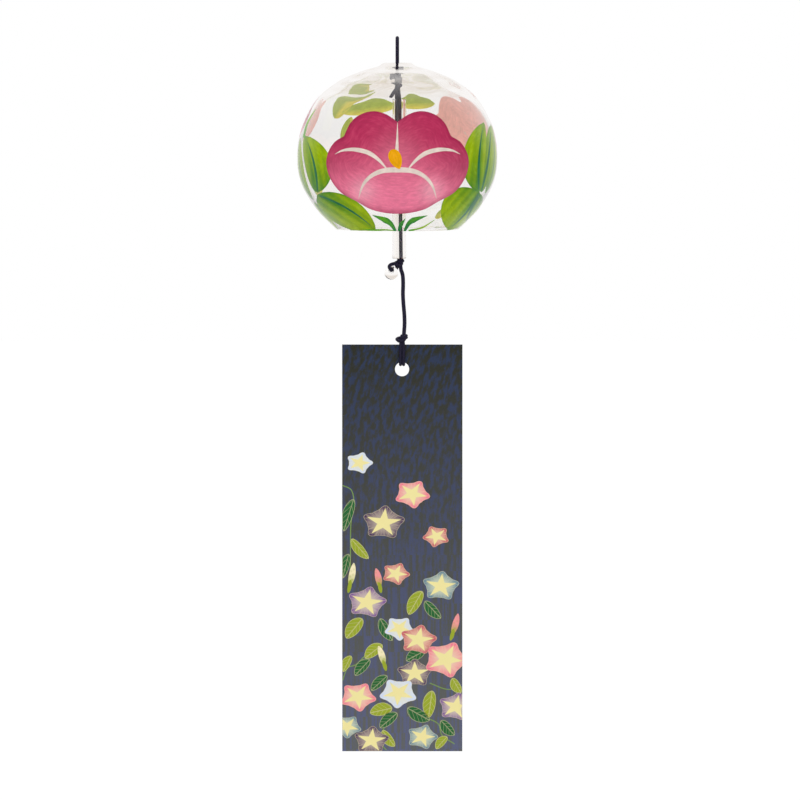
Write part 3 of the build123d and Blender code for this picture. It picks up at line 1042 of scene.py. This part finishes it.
# Print on the strip
# Five-petalled flowers with pale stars, pointed leaves and buds, in a loose fall that thickens to the
# foot. The ink lies on both faces of the card, a few hundredths of a millimetre thick.
ink_t = 0.012
ink_sunk = 0.02
print_spacing = 0.8
card_margin = 0.05
tendril_w = 0.4
bud_half_w = 1.3
calyx_half_w = 0.8
star_yellow = (238, 226, 158)
lime = (152, 166, 44)
dark_green = (42, 104, 54)
bud_cream = (244, 232, 190)
bud_pink = (238, 150, 150)
tendril = (120, 150, 80)
pale_line = (236, 224, 180)
petal_wide = 1.1
petal_high = 0.88
petal_kind = 1.0
leaf_kind = 2.0
star_tip = 0.84
star_notch = 0.3
petal_inks = {
    "pink": ((238, 118, 142), (236, 200, 176)),
    "rose": ((196, 84, 100), (230, 186, 160)),
    "plum": ((74, 48, 88), (176, 160, 150)),
    "violet": ((124, 84, 148), (206, 190, 178)),
    "teal": ((96, 132, 150), (200, 208, 184)),
    "white": ((206, 218, 242), (226, 226, 208)),
}
printed_flowers = [
    (-17.2, 47.5, 5.0, 0.3, "white", 2), (4.0, 60.0, 6.6, 0.5, "pink", 2),
    (-7.5, 71.5, 7.9, 0.1, "plum", 3), (13.6, 77.0, 5.0, 0.8, "rose", 2),
    (15.4, 97.0, 6.9, 0.1, "teal", 2), (-2.6, 92.0, 5.2, 0.4, "rose", 2),
    (-14.2, 103.5, 7.3, 0.2, "violet", 3), (-1.2, 114.0, 5.6, 0.6, "white", 2),
    (6.4, 118.5, 6.9, 0.2, "rose", 3), (17.6, 126.5, 8.4, 0.4, "pink", 3),
    (5.0, 132.0, 6.6, 0.0, "plum", 2), (-1.6, 140.0, 7.0, 0.7, "white", 3),
    (21.5, 145.5, 6.6, 0.2, "violet", 2), (-17.8, 141.5, 6.8, 0.5, "pink", 3),
    (8.0, 157.6, 5.8, 0.3, "teal", 2), (-12.4, 159.0, 6.6, 0.1, "plum", 2),
    (-22.2, 153.5, 5.4, 0.6, "teal", 3),
]
printed_leaves = [
    ((-19.5, 62.0), (-23.5, 75.0), 2.2, dark_green), ((-20.5, 78.0), (-13.5, 86.0), 2.0, lime),
    ((-21.5, 84.0), (-24.0, 94.0), 2.0, dark_green), ((8.0, 99.0), (2.5, 108.5), 2.6, lime),
    ((9.0, 103.0), (15.5, 110.0), 2.2, dark_green), ((-9.0, 110.0), (-4.0, 119.0), 2.2, dark_green),
    ((-16.0, 110.0), (-22.5, 118.0), 2.8, lime), ((-8.0, 120.5), (-15.0, 126.0), 2.4, lime),
    ((-13.0, 126.5), (-19.0, 133.0), 2.2, dark_green), ((9.0, 123.0), (1.5, 127.0), 2.4, dark_green),
    ((20.0, 134.0), (23.6, 140.0), 2.0, lime), ((-4.0, 146.0), (-13.0, 148.0), 2.6, lime),
    ((-2.0, 148.0), (-9.0, 154.0), 2.3, dark_green), ((2.0, 146.0), (11.0, 151.0), 2.6, dark_green),
    ((12.0, 139.0), (10.5, 150.0), 2.6, lime), ((-8.0, 155.0), (-3.0, 161.5), 2.0, lime),
    ((15.5, 151.0), (21.0, 157.0), 2.2, dark_green), ((18.0, 157.5), (13.5, 162.5), 1.8, lime),
    ((-20.5, 125.0), (-23.8, 131.5), 1.8, lime), ((-6.0, 133.0), (-12.5, 139.0), 2.0, dark_green),
]
printed_buds = [((-21.2, 97.0), (-19.4, 87.6), bud_cream), ((20.0, 116.4), (22.4, 108.0), bud_pink),
                ((-7.2, 128.8), (-9.6, 121.0), bud_cream), ((-9.0, 97.5), (-10.6, 89.8), bud_pink)]
printed_stems = [
    [(-24.0, 56.5), (-20.4, 58.5), (-19.4, 64.0), (-20.6, 72.0), (-20.8, 84.0), (-21.0, 98.0)],
    [(10.0, 150.0), (14.5, 152.5), (16.0, 157.0), (21.0, 160.5)],
    [(-15.0, 125.0), (-18.5, 128.5), (-22.0, 130.0), (-24.0, 135.0)],
    [(24.0, 137.5), (18.0, 138.5), (11.0, 136.0)],
    [(-4.0, 148.5), (-7.5, 154.5), (-8.4, 160.0), (-6.4, 163.0)],
]


def kept_on_card(outline):
    """An outline in across and down, cut at the card's edges, with its height upwards."""
    outline = np.array(outline, float)
    return np.stack([np.clip(outline[:, 0], card_margin - half_w, half_w - card_margin),
                     -np.clip(outline[:, 1], card_margin, strip_h - card_margin)], 1)


def petal_ink(middle, radius, colours):
    """The petals' colour, paler towards the star, with their place for the fine rays."""
    def look(points, distance):
        own = (points * [1, -1] - middle) / radius
        share = np.clip((np.linalg.norm(own / [1.08, petal_high], axis=1) - 0.25) / 0.62, 0, 1)
        tint = blended(colours[1], colours[0], share**1.3)
        return tint, tint, np.hstack([own, np.full((len(points), 1), petal_kind)])
    return look


def leaf_ink(base, tip, width, colour):
    """The leaf's colour, with its place along and across for the veins."""
    def look(points, distance):
        along, aside = from_base(points * [1, -1], base, tip)
        tint = np.tile(linear(colour), (len(points), 1))
        return tint, tint, np.stack([along, aside / width, np.full(len(points), leaf_kind)], 1)
    return look


def bud_ink(base, tip, colour):
    """A bud is green at its foot and takes its colour towards the tip, with its folds as fine lines."""
    def look(points, distance):
        along, aside = from_base(points * [1, -1], base, tip)
        fold = 0.3 * (abs(abs(aside) - 0.5) < 0.12)
        tint = blended(lime, colour, np.clip(along * 1.8, 0, 1) - fold)
        return tint, tint, np.zeros((len(points), 3))
    return look


def ink_material():
    """Offset ink: pale outlines, fine rays in the petals and pale veins in the leaves."""
    material, start = new_material("printing_ink")
    tint = start.node("Attribute", {"attribute_name": "tint"}, output="Color")
    edge = start.node("Attribute", {"attribute_name": "edge"}, output="Fac")
    own = start.node("Attribute", {"attribute_name": "own"}, output="Vector")
    x, y, kind = (own.part(letter) for letter in "XYZ")
    petal = kind.maths("COMPARE", petal_kind, 0.4)
    leaf = kind.maths("COMPARE", leaf_kind, 0.4)
    flat = start.node("CombineXYZ", None, {"X": x, "Y": y})
    out = start.node("VectorMath", {"operation": "LENGTH"}, {0: flat}, output="Value")
    ray_place = start.node("CombineXYZ", None, {"X": y.maths("ARCTAN2", x) * 7.0, "Y": out * 1.5, "Z": 0.0})
    rays = start.node("TexNoise", None, {"Vector": ray_place, "Scale": 1.6, "Detail": 2.0})
    ray = ((rays - 0.45) * 2.2).maths("MAXIMUM", 0.0) * petal
    slope = x * 5.0 - y.maths("ABSOLUTE") * 1.4
    side_vein = slope.maths("PINGPONG", 0.5).maths("LESS_THAN", 0.045)
    midrib = y.maths("ABSOLUTE").maths("LESS_THAN", 0.07)
    vein = leaf * midrib.maths("MAXIMUM", side_vein) * 0.35
    outline = edge.maths("LESS_THAN", 0.2) * petal.maths("MAXIMUM", leaf) * 0.4
    pale = (ray * 0.6).maths("MAXIMUM", vein.maths("MAXIMUM", outline))
    colour = tint.mixed(pale, opaque(pale_line))
    start.node("BsdfPrincipled", None, {
        "Base Color": colour, "Roughness": 0.5, "Specular IOR Level": 0.25}).show()
    return material


def round_flower(middle, reach, turns):
    """Points round the middle of a printed flower, each at its own reach and turn from the top."""
    x, y = reach * petal_wide * np.sin(turns), -reach * petal_high * np.cos(turns)
    return np.stack([x, y], 1) + middle


def printed_shapes():
    """Every printed shape as its outline, its height over the card in steps of ink, and its look."""
    shapes = []
    for line in printed_stems:
        shapes.append((ribbon(line, [tendril_w, tendril_w]), 1, plain_look(tendril, tendril)))
    for base, tip, width, colour in printed_leaves:
        outline = leaf_lines(base, tip, 0.5, width, width)[0]
        shapes.append((outline, 2, leaf_ink(base, tip, width, colour)))
    for base, tip, colour in printed_buds:
        bud = leaf_lines(base, tip, 0.2, bud_half_w, bud_half_w)[0]
        shapes.append((bud, 3, bud_ink(base, tip, colour)))
        way = np.array(tip) - np.array(base)
        calyx = leaf_lines(base - way * 0.3, base + way * 0.28, 0.1, calyx_half_w, calyx_half_w)[0]
        shapes.append((calyx, 4, plain_look(lime, lime)))
    for across, down, radius, start, ink, level in printed_flowers:
        middle = np.array([across, down])
        turns = np.linspace(0, 2 * pi, 72, endpoint=False)
        lobes = 0.12 * np.cos(5 * (turns - start)) + 0.03 * np.cos(10 * (turns - start))
        outline = round_flower(middle, radius * (0.85 + lobes), turns)
        shapes.append((outline, 3 * level, petal_ink(middle, radius, petal_inks[ink])))
        corner = np.arange(10)
        reach = radius * np.where(corner % 2 == 0, star_tip, star_notch)
        star = round_flower(middle, reach, start + corner * pi / 5)
        shapes.append((star, 3 * level + 1, plain_look(star_yellow, star_yellow)))
    return shapes


inks = [ink_material()] * 2
for face, side in (("front", 1), ("back", -1)):
    def on_face(points, height, side=side):
        return on_strip(points * [side, -1], side * height)

    layers = []
    for outline, height, look in printed_shapes():
        depths = (strip_t / 2 + ink_t * height, strip_t / 2 - ink_sunk)
        layers.append((kept_on_card(outline), depths, print_spacing, look))
    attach(coats(f"strip_print_{face}", layers, on_face, inks), "strip")

# Studio
# A plain pale floor under three soft boxes, seen through a long lens that looks down a little.
# What the camera sees of the floor and the air is white.
camera_far = 3.0
camera_aim = Vector((0.00108, 0.0, -0.14416))
camera_tilt = radians(3.4)
camera_lens = 337.0
floor_z = -0.43
floor_half = 6.0
floor_grey = (0.86, 0.86, 0.86, 1.0)
floor_shown = 0.9
floor_glow = 1.08
bell_middle = (0, 0, -0.05)
lamp_size = 1.0
white = (1.0, 1.0, 1.0, 1.0)
plain_air = (0.6, 0.6, 0.6, 1.0)


def mirrored_room(start, way):
    """What glass mirrors in this direction: white behind and above the bell, a dim room in front."""
    bright = way.part("Y") * 0.5 + 0.5 + way.part("Z").maths("MAXIMUM", 0.0) * 0.45
    stops = [(0.62, (0.12, 0.12, 0.12, 1)), (0.95, (0.95, 0.93, 0.92, 1))]
    return start.node("ValToRGB", {"stops": stops}, {"Fac": bright})


def make_world():
    """White where the camera looks. Glass finds it a little greyer overhead and below."""
    world = bpy.data.worlds.new("studio")
    bpy.context.scene.world = world
    world.use_nodes = True
    world.node_tree.nodes.clear()
    start = Wire(world.node_tree)
    way = start.node("TexCoord", output="Generated")
    stops = [(0.0, white), (0.12, (1, 0.99, 0.985, 1)), (0.34, (0.8, 0.75, 0.7, 1)),
             (1.0, (0.84, 0.8, 0.77, 1))]
    through_glass = start.node("ValToRGB", {"stops": stops}, {"Fac": way.part("Z").maths("ABSOLUTE")})
    camera = start.node("LightPath", output="Is Camera Ray")
    glossy = start.node("LightPath", output="Is Glossy Ray")
    mirrored_once = glossy * start.node("LightPath", output="Is Reflection Ray")
    colour = start.node("RGB")
    colour.output.default_value = plain_air
    colour = colour.mixed(glossy, through_glass)
    colour = colour.mixed(mirrored_once, mirrored_room(start, way)).mixed(camera, white)
    sky = start.node("Background", None, {"Color": colour, "Strength": 1.0})
    output = world.node_tree.nodes.new("ShaderNodeOutputWorld")
    world.node_tree.links.new(sky.output, output.inputs["Surface"])


def floor_material():
    """White to the camera and in glass, a little darker where the bell's shadow falls."""
    material, start = new_material("studio_floor")
    camera = start.node("LightPath", output="Is Camera Ray")
    gloss = start.node("LightPath", output="Is Glossy Ray")
    glass = start.node("LightPath", output="Is Transmission Ray")
    mirrored_once = start.node("LightPath", output="Is Reflection Ray")
    shown = camera.maths("MAXIMUM", gloss.maths("MAXIMUM", glass))
    diffuse = start.node("BsdfDiffuse", None, {"Color": floor_grey})
    place = start.node("TexCoord", output="Object")
    from_bell = start.node("VectorMath", {"operation": "SUBTRACT"}, {0: place, 1: bell_middle})
    way = start.node("VectorMath", {"operation": "NORMALIZE"}, {0: from_bell})
    colour = start.node("RGB")
    colour.output.default_value = white
    colour = colour.mixed(gloss * mirrored_once, mirrored_room(start, way))
    glow = start.node("Emission", None, {"Color": colour, "Strength": floor_glow})
    start.node("MixShader", None, {0: shown * floor_shown, 1: diffuse, 2: glow}).show()
    return material


def soft_lamp(name, place, power):
    """A square soft box that looks at the bell."""
    light = bpy.data.lights.new(name, "AREA")
    light.shape = "SQUARE"
    light.size = lamp_size
    light.energy = power
    lamp = new_object(name, light)
    lamp.location = place
    lamp.rotation_euler = (camera_aim - lamp.location).to_track_quat("-Z", "Y").to_euler()
    lamp.visible_glossy = False
    lamp.visible_transmission = False


make_world()
floor_corners = [(x * floor_half, y * floor_half, floor_z)
                 for x, y in ((-1, -1), (1, -1), (1, 1), (-1, 1))]
floor_mesh = bpy.data.meshes.new("studio_floor")
floor_mesh.from_pydata(floor_corners, [], [(0, 1, 2, 3)])
floor_mesh.materials.append(floor_material())
new_object("studio_floor", floor_mesh)
soft_lamp("key_lamp", (-0.9, -1.3, 0.9), power=12.0)
soft_lamp("fill_lamp", (1.2, -1.0, 0.3), power=6.0)
soft_lamp("back_lamp", (0.3, 1.4, 0.8), power=6.0)

camera_data = bpy.data.cameras.new("camera")
camera_data.lens = camera_lens
camera_data.sensor_width = 36.0
camera_data.clip_end = 100.0
camera = new_object("camera", camera_data)
camera_way = Vector((0, -cos(camera_tilt), sin(camera_tilt)))
camera.location = camera_aim + camera_way * camera_far
camera.rotation_euler = (pi / 2 - camera_tilt, 0, 0)
bpy.context.scene.camera = camera
bpy.context.scene.view_settings.view_transform = "Standard"
